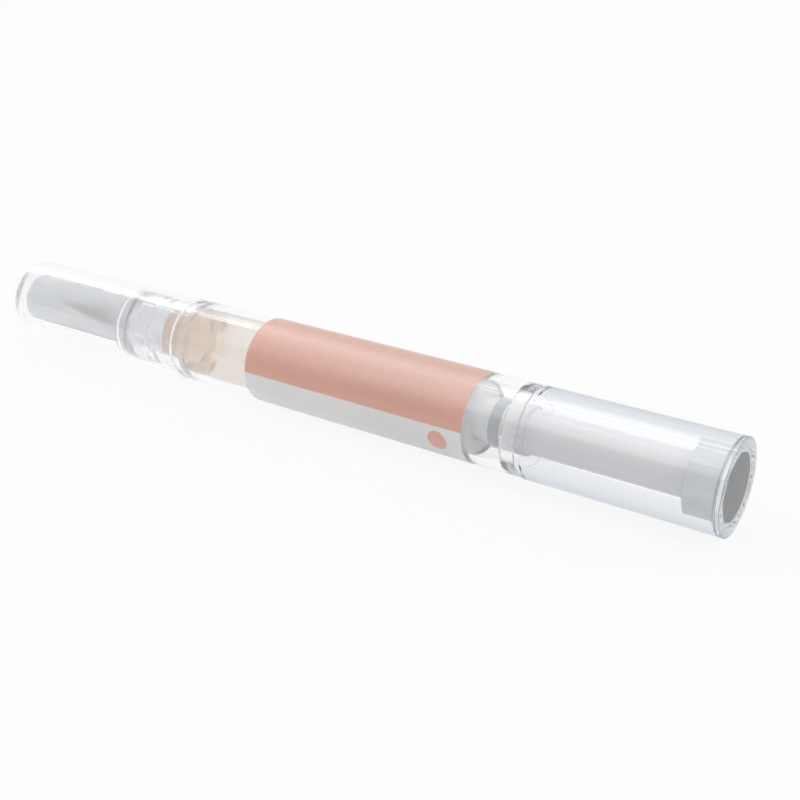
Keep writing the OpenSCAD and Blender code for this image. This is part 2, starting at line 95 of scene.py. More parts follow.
def surfaceTexture(tree, grain, depth, place):
    # fine uneven surface of a moulding: grain in mm, depth in mm
    noise = addNode(tree, "TexNoise", Vector=place, Scale=1 / (grain * mm), Detail=3.0)
    bump = addNode(tree, "Bump", Height=noise.outputs["Fac"], Strength=1.0, Distance=depth * mm)
    return bump.outputs["Normal"]


def letLampsThrough(tree, surface, share=1.0, colour=(1, 1, 1, 1)):
    # that share of a lamp's light passes the surface and reaches what is inside
    passed = addNode(tree, "LightPath").outputs["Is Shadow Ray"]
    if share < 1:
        passed = addNode(tree, "Math", {"operation": "MULTIPLY"}, in0=passed, in1=share).outputs[0]
    clear = addNode(tree, "BsdfTransparent", Color=colour)
    mixed = addNode(tree, "MixShader", Fac=passed, in1=surface, in2=clear.outputs[0])
    addNode(tree, "OutputMaterial", Surface=mixed.outputs[0])


def fromAxis(point):
    return (point - Vector((point.x, 0, boreAxis.z))).length


def turnOutline(outline, steps=turnSteps, sweep=2 * math.pi, start=0.0):
    # outline: corners of the half section as (place along the pen, radius, rounding), in mm
    shape = bmesh.new()
    corners = [shape.verts.new((x * mm, 0, (axisHeight + r) * mm)) for x, r, rounding in outline]
    shape.faces.new(corners)
    for rounding in sorted({corner[2] for corner in outline if corner[2]}):
        rounded = [v for v, corner in zip(corners, outline) if corner[2] == rounding]
        bmesh.ops.bevel(shape, geom=rounded, affect="VERTICES", offset_type="OFFSET", offset=rounding * mm,
                        segments=roundSegments, profile=0.5, material=-1, clamp_overlap=True)
    bmesh.ops.delete(shape, geom=shape.faces[:], context="FACES_ONLY")
    onAxis = [e for e in shape.edges if all(abs(v.co.z - boreAxis.z) < touching for v in e.verts)]
    bmesh.ops.delete(shape, geom=onAxis, context="EDGES")
    if start:
        bmesh.ops.rotate(shape, verts=shape.verts[:], cent=boreAxis, matrix=Matrix.Rotation(start, 3, "X"))
    section = shape.verts[:] + shape.edges[:]
    full = sweep >= 2 * math.pi
    bmesh.ops.spin(shape, geom=section, cent=boreAxis, axis=(1, 0, 0), angle=sweep, steps=steps,
                   use_merge=full)
    bmesh.ops.remove_doubles(shape, verts=shape.verts[:], dist=touching)
    if not full:
        bmesh.ops.holes_fill(shape, edges=[e for e in shape.edges if e.is_boundary], sides=0)
    bmesh.ops.recalc_face_normals(shape, faces=shape.faces[:])
    return shape


def finishPiece(name, shape, materials, body, slot, *nodes):
    mesh = bpy.data.meshes.new(name)
    shape.to_mesh(mesh)
    shape.free()
    mesh.shade_smooth()
    mesh.set_sharp_from_angle(angle=softAngle)
    for material in materials:
        mesh.materials.append(material)
    piece = bpy.data.objects.new(name, mesh)
    bpy.context.scene.collection.objects.link(piece)
    normals = piece.modifiers.new("Flat faces stay flat", "WEIGHTED_NORMAL")
    normals.keep_sharp = True
    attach(piece, body)
    if nodes:
        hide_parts(*nodes)
    return piece


# Clear mouldings in styrene acrylonitrile, from a polished tool: glossy and almost without colour
clearSettings = {"face": "#FEFEFF", "edge": "#FCFDFE", "ior": 1.57, "roughness": 0.01,
                 "hazeSize": 3.846, "rippleSize": 9.0, "rippleDepth": 0.002}
# the knob looks bluish where the view runs along its wall
knobClearSettings = dict(clearSettings, face="#F8F9FB", edge="#6F879E", ior=1.6)
knobBoreSettings = dict(clearSettings, ior=1.6)
# the end wall and the side wall's end show more depth of plastic
knobRimSettings = dict(clearSettings, face="#C9D0D7", edge="#B9C3CC", ior=1.6)
# where oil wets the wall, or a piece is pressed on it, the two bend light nearly alike
wettedSettings = dict(clearSettings, ior=1.07)


def clearStyrene(name, settings):
    material, tree, place = newMaterial(name)
    ripple = surfaceTexture(tree, settings["rippleSize"], settings["rippleDepth"], place)
    haze = addNode(tree, "TexNoise", Vector=place, Scale=1 / (settings["hazeSize"] * mm), Detail=4.0)
    cloud = addNode(tree, "MapRange", Value=haze.outputs["Fac"], From_Min=noiseLow, From_Max=noiseHigh,
                    To_Min=settings["roughness"], To_Max=settings["roughness"] * 2.5)
    slant = addNode(tree, "LayerWeight", Blend=0.5)
    steep = addNode(tree, "Math", {"operation": "POWER"}, in0=slant.outputs["Facing"], in1=1.5)
    tint = addNode(tree, "Mix", {"data_type": "RGBA"}, in0=steep.outputs[0],
                   in6=linearColour(settings["face"]), in7=linearColour(settings["edge"]))
    glass = addNode(tree, "BsdfPrincipled", Base_Color=tint.outputs[2], IOR=settings["ior"],
                    Transmission_Weight=1.0, Roughness=cloud.outputs["Result"], Normal=ripple)
    letLampsThrough(tree, glass.outputs[0])
    return material


# Natural polypropylene mouldings: milky and waxy. Their IOR is far under the real 1.49, as matched to the
# picture.
def milkyPolypropylene(name, settings):
    material, tree, place = newMaterial(name)
    cloud = addNode(tree, "TexNoise", Vector=place, Scale=1 / (settings["cloudSize"] * mm), Detail=5.0)
    tint = setRamp(addNode(tree, "ValToRGB", Fac=cloud.outputs["Fac"]),
                   (noiseLow, settings["colour"]), (noiseHigh, settings["shade"]))
    normal = surfaceTexture(tree, settings["grain"], settings["depth"], place)
    milk = addNode(tree, "BsdfPrincipled", Base_Color=tint, IOR=settings["ior"],
                   Transmission_Weight=settings["clear"], Roughness=settings["roughness"], Normal=normal,
                   Subsurface_Weight=1.0, Subsurface_Radius=(1, 1, 1),
                   Subsurface_Scale=settings["milkDepth"] * mm)
    letLampsThrough(tree, milk.outputs[0])
    return material


# Opaque mouldings: white polypropylene, and acetal rings whose grey is painted shade; satin from the tool's
# fine spark finish
def opaqueMoulding(name, settings):
    material, tree, place = newMaterial(name)
    cloud = addNode(tree, "TexNoise", Vector=place, Scale=1 / (settings["cloudSize"] * mm), Detail=5.0)
    tint = setRamp(addNode(tree, "ValToRGB", Fac=cloud.outputs["Fac"]),
                   (noiseLow, settings["colour"]), (noiseHigh, settings["shade"]))
    if "endX" in settings:
        # painted shade: the end face, past this place along the pen, is painted dark
        axes = addNode(tree, "SeparateXYZ", Vector=place)
        onShadedEnd = addNode(tree, "Math", {"operation": "GREATER_THAN"}, in0=axes.outputs["X"],
                        in1=settings["endX"] * mm)
        tint = addNode(tree, "Mix", {"data_type": "RGBA"}, in0=onShadedEnd.outputs[0], in6=tint,
                       in7=linearColour(settings["endShadeColour"])).outputs[2]
    wear = addNode(tree, "MapRange", Value=cloud.outputs["Fac"], From_Min=noiseLow, From_Max=noiseHigh,
                   To_Min=settings["roughness"] * 0.85, To_Max=settings["roughness"] * 1.15)
    normal = surfaceTexture(tree, settings["grain"], settings["depth"], place)
    solid = addNode(tree, "BsdfPrincipled", Base_Color=tint, IOR=1.49, Roughness=wear.outputs["Result"],
                    Normal=normal, Coat_Weight=settings["coat"], Coat_Roughness=0.1, Coat_IOR=1.5)
    addNode(tree, "OutputMaterial", Surface=solid.outputs[0])
    return material


# Printed film label: peach over the upper half, pale grey below, satin varnish, a peach dot in the grey.
# The varnish bends light more than a real one's 1.5, to give the picture's broad sheen.
labelPrint = {
    "peach": "#D9A492", "peachShade": "#D39E8C", "grey": "#E2E2E2", "greyShade": "#DEDEDE",
    "glued": "#FDFDFD", "splitAngle": 87.5, "dotX": 22.2, "dotAngle": 108, "dotHalfLength": 1.45,
    "dotHalfWidth": 1.55, "middleRadius": 6.16, "fibreSize": 0.5, "grain": 0.12, "depth": 0.0015,
    "ior": 1.55, "roughness": 0.42, "varnish": 0.9, "varnishRoughness": 0.46, "varnishIor": 1.9,
    "lightDepth": 0.25, "letThrough": 0.8, "passedColour": (1, 0.97, 0.95, 1)}


def printedLabel(name, settings):
    material, tree, place = newMaterial(name)
    axes = addNode(tree, "SeparateXYZ", Vector=place)
    lift = addNode(tree, "Math", {"operation": "SUBTRACT"}, in0=axes.outputs["Z"], in1=axisHeight * mm)
    # angle from the top of the pen, the same on both sides, in degrees
    out = addNode(tree, "Math", {"operation": "ABSOLUTE"}, in0=axes.outputs["Y"])
    turn = addNode(tree, "Math", {"operation": "ARCTAN2"}, in0=out.outputs[0], in1=lift.outputs[0])
    angle = addNode(tree, "Math", {"operation": "DEGREES"}, in0=turn.outputs[0])
    upper = addNode(tree, "Math", {"operation": "LESS_THAN"}, in0=angle.outputs[0],
                    in1=settings["splitAngle"])
    fibre = addNode(tree, "TexNoise", Vector=place, Scale=1 / (settings["fibreSize"] * mm), Detail=6.0)
    peach = setRamp(addNode(tree, "ValToRGB", Fac=fibre.outputs["Fac"]),
                    (noiseLow, settings["peach"]), (noiseHigh, settings["peachShade"]))
    grey = setRamp(addNode(tree, "ValToRGB", Fac=fibre.outputs["Fac"]),
                   (noiseLow, settings["grey"]), (noiseHigh, settings["greyShade"]))
    # the dot, an oval on the side that the picture shows
    away = addNode(tree, "Math", {"operation": "MULTIPLY"}, in0=axes.outputs["Y"], in1=-1.0)
    sideTurn = addNode(tree, "Math", {"operation": "ARCTAN2"}, in0=away.outputs[0], in1=lift.outputs[0])
    along = addNode(tree, "Math", {"operation": "SUBTRACT"}, in0=axes.outputs["X"],
                    in1=settings["dotX"] * mm)
    around = addNode(tree, "Math", {"operation": "SUBTRACT"}, in0=sideTurn.outputs[0],
                     in1=math.radians(settings["dotAngle"]))
    u = addNode(tree, "Math", {"operation": "DIVIDE"}, in0=along.outputs[0],
                in1=settings["dotHalfLength"] * mm).outputs[0]
    v = addNode(tree, "Math", {"operation": "DIVIDE"}, in0=around.outputs[0],
                in1=settings["dotHalfWidth"] / axisHeight).outputs[0]
    square = addNode(tree, "Math", {"operation": "MULTIPLY"}, in0=u, in1=u)
    both = addNode(tree, "Math", {"operation": "MULTIPLY_ADD"}, in0=v, in1=v, in2=square.outputs[0])
    dot = addNode(tree, "Math", {"operation": "LESS_THAN"}, in0=both.outputs[0], in1=1.0)
    inked = addNode(tree, "Math", {"operation": "MAXIMUM"}, in0=upper.outputs[0], in1=dot.outputs[0])
    colour = addNode(tree, "Mix", {"data_type": "RGBA"}, in0=inked.outputs[0], in6=grey, in7=peach)
    normal = surfaceTexture(tree, settings["grain"], settings["depth"], place)
    sheen = addNode(tree, "MapRange", Value=fibre.outputs["Fac"], From_Min=noiseLow, From_Max=noiseHigh,
                    To_Min=settings["roughness"] * 0.9, To_Max=settings["roughness"] * 1.1)
    # the glued side is plain white
    across = addNode(tree, "CombineXYZ", Y=axes.outputs["Y"], Z=lift.outputs[0])
    radius = addNode(tree, "VectorMath", {"operation": "LENGTH"}, in0=across.outputs[0])
    outside = addNode(tree, "Math", {"operation": "GREATER_THAN"}, in0=radius.outputs["Value"],
                      in1=settings["middleRadius"] * mm)
    printed = addNode(tree, "Mix", {"data_type": "RGBA"}, in0=outside.outputs[0],
                      in6=linearColour(settings["glued"]), in7=colour.outputs[2])
    film = addNode(tree, "BsdfPrincipled", Base_Color=printed.outputs[2], IOR=settings["ior"],
                   Roughness=sheen.outputs["Result"], Normal=normal, Coat_Weight=settings["varnish"],
                   Coat_Roughness=settings["varnishRoughness"], Coat_IOR=settings["varnishIor"],
                   Subsurface_Weight=1.0, Subsurface_Radius=(1, 1, 1),
                   Subsurface_Scale=settings["lightDepth"] * mm)
    letLampsThrough(tree, film.outputs[0], settings["letThrough"], settings["passedColour"])
    return material


# Peach kernel oil, cloudy cream; inside the narrow neck it is painted darker and warmer, as painted shade.
# It wets the walls, so little light turns back where they meet, and its IOR is drawn well under the real
# 1.47.
oilSettings = {"cream": "#FFF7F0", "creamShade": "#FDF3EB", "stepShadePainted": "#F8EEE5", "neckShadePainted": "#EBD9CA",
               "neckX": -24.85, "stepX": -23.8, "edgeBlur": 0.15, "swirlSize": 3.5, "clear": 0.78,
               "ior": 1.1, "roughness": 0.22, "milkDepth": 2.5, "letThrough": 0.9,
               "passedColour": (1, 0.98, 0.95, 1)}
# where the two parts of the oil meet there is hardly anything to see
meetingSettings = dict(oilSettings, clear=1.0, letThrough=1.0, roughness=0.0, ior=1.0)


def cloudyOil(name, settings):
    material, tree, place = newMaterial(name)
    axes = addNode(tree, "SeparateXYZ", Vector=place)
    swirl = addNode(tree, "TexNoise", Vector=place, Scale=1 / (settings["swirlSize"] * mm), Detail=3.0,
                    Distortion=1.2)
    colour = setRamp(addNode(tree, "ValToRGB", Fac=swirl.outputs["Fac"]),
                     (noiseLow, settings["cream"]), (noiseHigh, settings["creamShade"]))
    # painted shade: darker and warmer ahead of the step, and darker still in the neck
    blur = settings["edgeBlur"]
    for edgeName, shadeName in (("stepX", "stepShadePainted"), ("neckX", "neckShadePainted")):
        edgeX = settings[edgeName]
        ahead = addNode(tree, "MapRange", {"interpolation_type": "SMOOTHSTEP"}, Value=axes.outputs["X"],
                        From_Min=(edgeX + blur) * mm, From_Max=(edgeX - blur) * mm)
        colour = addNode(tree, "Mix", {"data_type": "RGBA"}, in0=ahead.outputs["Result"], in6=colour,
                         in7=linearColour(settings[shadeName])).outputs[2]
    oil = addNode(tree, "BsdfPrincipled", Base_Color=colour, IOR=settings["ior"],
                  Transmission_Weight=settings["clear"], Roughness=settings["roughness"],
                  Subsurface_Weight=1.0, Subsurface_Radius=(1, 0.9, 0.8),
                  Subsurface_Scale=settings["milkDepth"] * mm)
    letLampsThrough(tree, oil.outputs[0], settings["letThrough"], settings["passedColour"])
    return material


# Extruded nylon filaments wet with oil: clear, with streaks along them. Oil between them leaves them little
# edge of their own, so the IOR is far under nylon's 1.53.
nylonSettings = {"colour": "#FEFEFD", "shade": "#FAFAF8", "streakSize": 0.15, "streakStretch": 0.08,
                 "clear": 0.985, "ior": 1.045, "roughness": 0.1, "letThrough": 0.9}


def wetNylon(name, settings):
    material, tree, place = newMaterial(name)
    stretched = addNode(tree, "Mapping", Vector=place, Scale=(settings["streakStretch"], 1, 1))
    streak = addNode(tree, "TexNoise", Vector=stretched.outputs[0], Scale=1 / (settings["streakSize"] * mm),
                     Detail=2.0)
    tint = setRamp(addNode(tree, "ValToRGB", Fac=streak.outputs["Fac"]),
                   (0.35, settings["colour"]), (0.65, settings["shade"]))
    nylon = addNode(tree, "BsdfPrincipled", Base_Color=tint, IOR=settings["ior"],
                    Transmission_Weight=settings["clear"], Roughness=settings["roughness"])
    letLampsThrough(tree, nylon.outputs[0], settings["letThrough"])
    return material


clearShell = clearStyrene("styreneAcrylonitrileMoulded", clearSettings)
clearKnob = clearStyrene("styreneAcrylonitrileBluish", knobClearSettings)
clearBore = clearStyrene("styreneAcrylonitrileBore", knobBoreSettings)
clearRim = clearStyrene("styreneAcrylonitrileRim", knobRimSettings)
wettedShell = clearStyrene("styreneAcrylonitrileWetted", wettedSettings)
frostedLiner = milkyPolypropylene("polypropyleneLinerMoulded", {
    "colour": "#F4F5F6", "shade": "#F1F2F3", "cloudSize": 6, "grain": 0.3, "depth": 0.0004,
    "clear": 0.78, "ior": 1.12, "milkDepth": 0.4, "roughness": 0.05})
naturalPlastic = milkyPolypropylene("polypropyleneNaturalMoulded", {
    "colour": "#FDFDFE", "shade": "#FAFAFB", "cloudSize": 4, "grain": 0.25, "depth": 0.0004,
    "clear": 0.86, "ior": 1.06, "milkDepth": 0.9, "roughness": 0.08})
whitePlastic = opaqueMoulding("polypropyleneWhiteMoulded", {
    "colour": "#F4F5F5", "shade": "#F1F2F2", "cloudSize": 5, "grain": 0.2, "depth": 0.002,
    "roughness": 0.34, "coat": 1.0})
# the plug's end face is painted near black, as painted shade
plugPlastic = opaqueMoulding("polypropylenePlugMoulded", {
    "colour": "#F0F2F3", "shade": "#EBEDEE", "cloudSize": 5, "grain": 0.2, "depth": 0.002,
    "roughness": 0.34, "coat": 0.0, "endX": 58.98, "endShadeColour": "#22272B"})
# the rings' grey is painted shade, darker than the white pieces round them
shadedRingGrey = opaqueMoulding("acetalGreyPaintedShade", {
    "colour": "#BFC4C7", "shade": "#B9BEC1", "cloudSize": 3, "grain": 0.15, "depth": 0.002,
    "roughness": 0.3, "coat": 1.0})
labelFilm = printedLabel("polypropyleneFilmPrinted", labelPrint)
oilMaterial = cloudyOil("peachOilCloudy", oilSettings)
oilMeeting = cloudyOil("peachOilMeeting", meetingSettings)
nylonWet = wetNylon("nylonBristleWet", nylonSettings)
print("materials ready")

# Cap: clear shell, closed and flat in front, thin skirt over the neck
cap = {"end": -60, "endWall": 0.9, "mouth": -24.9, "skirtX": -36.48, "bore": 4.75, "skirt": 5.43,
       "radius": 6.2, "edge": 0.5, "ringX": -29.9, "ringHalf": 0.4, "ringHeight": 0.05}
capOutline = [
    (cap["end"], 0, 0), (cap["end"], cap["radius"], cap["edge"]), (cap["mouth"], cap["radius"], 0.08),
    (cap["mouth"], cap["skirt"], 0.08), (cap["ringX"] + cap["ringHalf"], cap["skirt"], 0),
    (cap["ringX"], cap["skirt"] - cap["ringHeight"], 0), (cap["ringX"] - cap["ringHalf"], cap["skirt"], 0),
    (cap["skirtX"], cap["skirt"], 0.1), (cap["skirtX"], cap["bore"], 0.15),
    (cap["end"] + cap["endWall"], cap["bore"], 0.5), (cap["end"] + cap["endWall"], 0, 0)]
finishPiece("capShell", turnOutline(capOutline), [clearShell], "cap", "clear_shell", "cap")

# Inner cap: thin milky liner, with a flange at its mouth that fits the cap's bore
liner = {"end": -59.07, "endWall": 0.5, "mouth": -36.75, "flangeX": -37.25, "flange": 4.72,
         "radius": 3.8, "bore": 3.5}
linerOutline = [
    (liner["end"], 0, 0), (liner["end"], liner["radius"], 0.5), (liner["flangeX"], liner["radius"], 0.1),
    (liner["flangeX"], liner["flange"], 0.08), (liner["mouth"], liner["flange"], 0.08),
    (liner["mouth"], liner["bore"], 0.08), (liner["end"] + liner["endWall"], liner["bore"], 0.3),
    (liner["end"] + liner["endWall"], 0, 0)]
finishPiece("capLiner", turnOutline(linerOutline), [frostedLiner], "cap", "frosted_liner", "inner_cap")
print("cap ready")

# Barrel: neck with a snap groove, oil bore with a coned step, rear socket for the knob
barrel = {"front": -35, "neck": 5.35, "shoulder": -24.8, "radius": 6.11, "rear": 33.5, "neckBore": 3.75,
          "bore": 5.11, "stepX": -23.86, "boreX": -22.5, "socket": 5.43, "socketX": 31.2, "grooveX": -29.9,
          "grooveHalf": 0.9, "grooveDepth": 0.12, "ringFront": 19.1, "ringRear": 20.1, "ringHeight": 0.15,
          "wetFront": -24.36, "wetRear": -21.9}
barrelOutline = [
    (barrel["front"], barrel["neckBore"], 0.05), (barrel["front"], barrel["neck"], 0.12),
    (barrel["grooveX"] - barrel["grooveHalf"], barrel["neck"], 0.2),
    (barrel["grooveX"], barrel["neck"] - barrel["grooveDepth"], 0.3),
    (barrel["grooveX"] + barrel["grooveHalf"], barrel["neck"], 0.2),
    (barrel["shoulder"], barrel["neck"], 0.08), (barrel["shoulder"], barrel["radius"], 0.1),
    (barrel["rear"], barrel["radius"], 0.1), (barrel["rear"], barrel["socket"], 0.05),
    (barrel["socketX"], barrel["socket"], 0.05), (barrel["socketX"], barrel["bore"], 0.05),
    (barrel["ringRear"], barrel["bore"], 0),
    (barrel["ringRear"] - barrel["ringHeight"], barrel["bore"] - barrel["ringHeight"], 0),
    (barrel["ringFront"] + barrel["ringHeight"], barrel["bore"] - barrel["ringHeight"], 0),
    (barrel["ringFront"], barrel["bore"], 0),
    (barrel["boreX"], barrel["bore"], 0.15), (barrel["stepX"], barrel["neckBore"], 0.7)]
barrelMaterials = [clearShell, wettedShell]
barrelShape = turnOutline(barrelOutline)
for f in barrelShape.faces:
    middle = f.calc_center_median()
    inStep = barrel["wetFront"] * mm < middle.x < barrel["wetRear"] * mm
    if inStep and fromAxis(middle) < (barrel["bore"] - nearly) * mm:
        f.material_index = barrelMaterials.index(wettedShell)
finishPiece("barrelShell", barrelShape, barrelMaterials, "barrel", "clear_shell", "barrel")

# Label: one film wrapped round, its edges meeting in a butt seam at the back
label = {"front": -10.2, "rear": 25.9, "radius": 6.2, "inner": 6.12, "seamGap": 0.22, "seamAngle": 150}
seam = label["seamGap"] / label["radius"]
labelOutline = [(label["front"], label["inner"], 0), (label["front"], label["radius"], 0.03),
                (label["rear"], label["radius"], 0.03), (label["rear"], label["inner"], 0)]
labelShape = turnOutline(labelOutline, sweep=2 * math.pi - seam,
                         start=-math.radians(label["seamAngle"]) + seam / 2)
finishPiece("labelFilm", labelShape, [labelFilm], "barrel", "label_film", "label")
print("barrel ready")

# Nozzle: hollow cone, collar and ribbed plug in one moulding
nozzle = {"tip": -48.65, "tipRadius": 1.15, "tipBore": 0.88, "coneRadius": 3.4, "coneBore": 2.4,
          "collarX": -36.45, "collar": 5.35, "neckX": -35, "plug": 3.72, "waist": 3.42, "plugEnd": -28,
          "plugBore": 2.7, "rootBore": 1.5, "rootX": -44.35, "retainerX": -40.45,
          "ribs": 3, "ribWidth": 0.9, "ribSlope": 0.15}
ribPitch = (nozzle["plugEnd"] - nozzle["neckX"] - nozzle["ribWidth"]) / (nozzle["ribs"] - 1)
nozzleOutline = [
    (nozzle["tip"], nozzle["tipBore"], 0.05), (nozzle["tip"], nozzle["tipRadius"], 0.1),
    (nozzle["collarX"], nozzle["coneRadius"], 0.15), (nozzle["collarX"], nozzle["collar"], 0.25),
    (nozzle["neckX"], nozzle["collar"], 0.06)]
for i in range(nozzle["ribs"]):
    ribX = nozzle["neckX"] + i * ribPitch
    nozzleOutline += [(ribX, nozzle["waist"], 0), (ribX + nozzle["ribSlope"], nozzle["plug"], 0.1),
                      (ribX + nozzle["ribWidth"] - nozzle["ribSlope"], nozzle["plug"], 0.1),
                      (ribX + nozzle["ribWidth"], nozzle["waist"], 0)]
nozzleOutline += [
    (nozzle["plugEnd"], nozzle["plugBore"], 0.15), (nozzle["neckX"], nozzle["plugBore"], 0.4),
    (nozzle["collarX"], nozzle["coneBore"], 0), (nozzle["retainerX"], nozzle["rootBore"], 0),
    (nozzle["rootX"], nozzle["rootBore"], 0.08), (nozzle["rootX"], nozzle["tipBore"], 0.05)]
finishPiece("nozzleMoulding", turnOutline(nozzleOutline), [naturalPlastic], "barrel", "natural_plastic",
            "nozzle")

# Brush: fine filaments, straight in the nozzle's tip and drawn to a point beyond it, in a short root
brush = {"count": 620, "radius": 0.022, "inner": 0.34, "outer": 0.85, "rootFront": -44.35,
         "rootRear": -42.85, "rootRadius": 1.47, "rootBore": 0.31, "rootSteps": 96, "inRoot": 0.5,
         "tip": -48.65, "apex": -55.65, "apexShare": 0.1, "drawPower": 1.25, "outerShorter": 0.3,
         "uneven": 0.08, "stations": (0.0, 0.35, 0.6, 0.8, 0.92, 1.0)}
goldenAngle = math.pi * (3 - math.sqrt(5))
brushShape = bmesh.new()
oneStrand = bmesh.ops.create_circle(brushShape, cap_ends=True, segments=3, radius=brush["radius"] * mm,
                                    matrix=acrossPen)["verts"]
bmesh.ops.translate(brushShape, verts=oneStrand, vec=((brush["rootFront"] + brush["inRoot"]) * mm, 0, 0))
sweepFace = brushShape.faces[:][0]
for share in brush["stations"]:
    grown = bmesh.ops.extrude_face_region(brushShape, geom=[sweepFace])["geom"]
    sweepFace = [g for g in grown if isinstance(g, bmesh.types.BMFace)][0]
    placeX = (brush["tip"] + (brush["apex"] - brush["tip"]) * share) * mm
    for v in [g for g in grown if isinstance(g, bmesh.types.BMVert)]:
        v.co.x = placeX
flatFaces = [f for f in brushShape.faces if f.calc_area() == 0]
bmesh.ops.delete(brushShape, geom=flatFaces, context="FACES_ONLY")
bmesh.ops.recalc_face_normals(brushShape, faces=brushShape.faces[:])
strandMesh = bpy.data.meshes.new("oneStrand")
brushShape.to_mesh(strandMesh)
brushShape.clear()
for i in range(brush["count"]):
    share = (i + 0.5) / brush["count"]
    radius = math.sqrt(brush["inner"] ** 2 + (brush["outer"] ** 2 - brush["inner"] ** 2) * share)
    turn = i * goldenAngle
    before = len(brushShape.verts)
    brushShape.from_mesh(strandMesh)
    brushShape.verts.ensure_lookup_table()
    strand = brushShape.verts[before:]
    aside = (0, radius * math.sin(turn) * mm, radius * math.cos(turn) * mm)
    bmesh.ops.translate(brushShape, verts=strand, vec=aside)
    # outer strands end sooner, and each one's length varies a little
    outness = (radius - brush["inner"]) / (brush["outer"] - brush["inner"])
    reach = 1 - brush["outerShorter"] * outness - brush["uneven"] * ((i * 7) % 5) / 5
    for v in strand:
        past = (brush["tip"] * mm - v.co.x) / ((brush["tip"] - brush["apex"]) * mm)
        if past > 0:
            past *= reach
            v.co.x = (brush["tip"] + (brush["apex"] - brush["tip"]) * past) * mm
            drawn = 1 - (1 - brush["apexShare"]) * past ** brush["drawPower"]
            v.co.y *= drawn
            v.co.z = boreAxis.z + (v.co.z - boreAxis.z) * drawn
bpy.data.meshes.remove(strandMesh)
rootOutline = [
    (brush["rootFront"], brush["rootBore"], 0), (brush["rootFront"], brush["rootRadius"], 0.1),
    (brush["rootRear"], brush["rootRadius"], 0.1), (brush["rootRear"], brush["rootBore"], 0)]
rootShape = turnOutline(rootOutline, steps=brush["rootSteps"])
rootMesh = bpy.data.meshes.new("brushRoot")
rootShape.to_mesh(rootMesh)
rootShape.free()
brushShape.from_mesh(rootMesh)
bpy.data.meshes.remove(rootMesh)
finishPiece("brushBristles", brushShape, [nylonWet], "barrel", "nylon_bristle", "bristles")
print("nozzle and brush ready")

# Oil: a short plug in the neck that stays, and the column that the piston pushes out
oil = {"front": -27.94, "neck": 3.69, "stepX": -23.86, "bendX": -23.0, "bend": 4.53, "split": -22.44,
       "splitGap": 0.01, "shoulder": 4.91, "columnX": -21.75, "column": 5.05, "rear": 9.54}
neckRear = oil["split"] - oil["splitGap"]
neckOutline = [(oil["front"], 0, 0), (oil["front"], oil["neck"], 0.15), (oil["stepX"], oil["neck"], 0.3),
               (oil["bendX"], oil["bend"], 0), (neckRear, oil["shoulder"], 0), (neckRear, 0, 0)]
columnOutline = [(oil["split"], 0, 0), (oil["split"], oil["shoulder"], 0),
                 (oil["columnX"], oil["column"], 0.3), (oil["rear"], oil["column"], 0.1),
                 (oil["rear"], 0, 0)]
oilMaterials = [oilMaterial, oilMeeting]
neckShape, columnShape = turnOutline(neckOutline), turnOutline(columnOutline)
for shape in (neckShape, columnShape):
    for f in shape.faces:
        if abs(f.calc_center_median().x - oil["split"] * mm) < nearly * mm:
            f.material_index = oilMaterials.index(oilMeeting)
finishPiece("oilNeck", neckShape, oilMaterials, "barrel", "oil", "oil_fill")
oilColumn = finishPiece("oilColumn", columnShape, oilMaterials, "barrel", "oil", "oil_fill")
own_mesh(oilColumn)
print("oil ready")

# Guide sleeve: white, wide seat in the barrel and a thin tube that carries the knob's rotor
guide = {"front": 16.6, "seatRear": 25.6, "clipRear": 22.6, "seat": 5.08, "tube": 3.05, "rear": 28.37,
         "journal": 2.42, "nutSeat": 3.03, "nutRear": 21.33, "clipRoom": 2.9}
guideOutline = [
    (guide["front"], guide["nutSeat"], 0.1), (guide["front"], guide["seat"], 0.15),
    (barrel["ringFront"], guide["seat"], 0),
    (barrel["ringFront"] + barrel["ringHeight"], guide["seat"] - barrel["ringHeight"], 0),
    (barrel["ringRear"] - barrel["ringHeight"], guide["seat"] - barrel["ringHeight"], 0),
    (barrel["ringRear"], guide["seat"], 0),
    (guide["seatRear"], guide["seat"], 0.06), (guide["seatRear"], guide["tube"], 0.3),
    (guide["rear"], guide["tube"], 0.12), (guide["rear"], guide["journal"], 0.08),
    (guide["clipRear"], guide["journal"], 0), (guide["clipRear"], guide["clipRoom"], 0),
    (guide["nutRear"], guide["clipRoom"], 0), (guide["nutRear"], guide["nutSeat"], 0)]
finishPiece("guideSleeve", turnOutline(guideOutline), [whitePlastic], "barrel", "white_plastic",
            "guide_sleeve")

# Rotor tube: white, collar at the seam with a rounded edge, closed spigot in the tail plug, keyed bore
rotor = {"front": 21.5, "journal": 2.35, "clipX": 22.0, "clipWidth": 0.5, "clipDepth": 0.3,
         "collarX": 29.9, "collar": 3.4, "seam": 33.5, "tube": 2.97, "tubeRear": 54.94, "spigot": 2.17,
         "rear": 58.04, "key": 1.7}
rotorOutline = [
    (rotor["front"], rotor["key"], 0.05), (rotor["front"], rotor["journal"], 0.2),
    (rotor["clipX"], rotor["journal"], 0), (rotor["clipX"], rotor["journal"] - rotor["clipDepth"], 0),
    (rotor["clipX"] + rotor["clipWidth"], rotor["journal"] - rotor["clipDepth"], 0),
    (rotor["clipX"] + rotor["clipWidth"], rotor["journal"], 0), (rotor["collarX"], rotor["journal"], 0),
    (rotor["collarX"], rotor["collar"], 0.1), (rotor["seam"], rotor["collar"], 0.3),
    (rotor["seam"], rotor["tube"], 0.12), (rotor["tubeRear"], rotor["tube"], 0.12),
    (rotor["tubeRear"], rotor["spigot"], 0), (rotor["rear"], rotor["spigot"], 0.1),
    (rotor["rear"], rotor["key"], 0)]
finishPiece("rotorTube", turnOutline(rotorOutline), [whitePlastic], "knob", "white_plastic", "rotor_tube")

